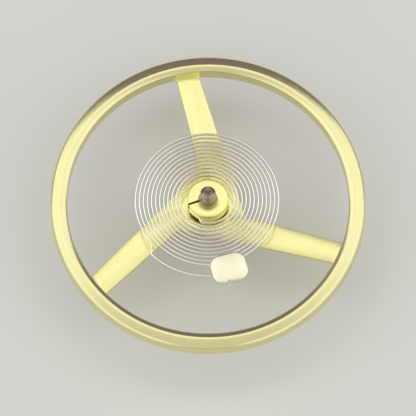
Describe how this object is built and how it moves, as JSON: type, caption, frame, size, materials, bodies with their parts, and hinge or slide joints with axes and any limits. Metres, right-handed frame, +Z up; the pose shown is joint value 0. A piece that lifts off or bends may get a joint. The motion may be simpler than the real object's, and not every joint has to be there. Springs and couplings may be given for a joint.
{
  "type": "balance wheel",
  "caption": "Complete watch balance: gilt wheel with straight arms on a pivoted staff, with double roller, impulse jewel, collet, flat hairspring and stud.",
  "frame": {"origin": "tip of the lower pivot, on the axis of the staff", "axes": "+Z up the staff towards the upper pivot and the hairspring side; the stud's azimuth is -75 degrees from +X"},
  "size_m": [0.01, 0.01, 0.0032],
  "materials": {
    "balance_wheel": "turned and gilt, with a fine circular grain on the rim",
    "balance_staff": "hardened, turned and polished, with burnished pivots",
    "double_roller": "turned, with a polished edge",
    "impulse_jewel": "polished synthetic ruby",
    "jewel_shellac": "set shellac",
    "collet": "turned and polished",
    "hairspring": "rolled alloy strip",
    "stud": "polished",
    "stud_cement": "set cement"
  },
  "bodies": {
    "stud": {"stud": "stud", "stud_cement": "stud_cement", "hairspring": "hairspring"},
    "balance": {"balance_wheel": "balance_wheel", "balance_staff": "balance_staff", "double_roller": "double_roller", "impulse_jewel": "impulse_jewel", "jewel_shellac": "jewel_shellac", "collet": "collet"}
  },
  "joints": [
    {"name": "balance_swing", "type": "hinge", "parent": "stud", "child": "balance", "pos_m": [0, 0, 0.0016], "axis": [0, 0, 1], "range_deg": [-300, 300], "stiffness_Nm_per_rad": 0.00000111, "deforming": ["hairspring"]}
  ]
}
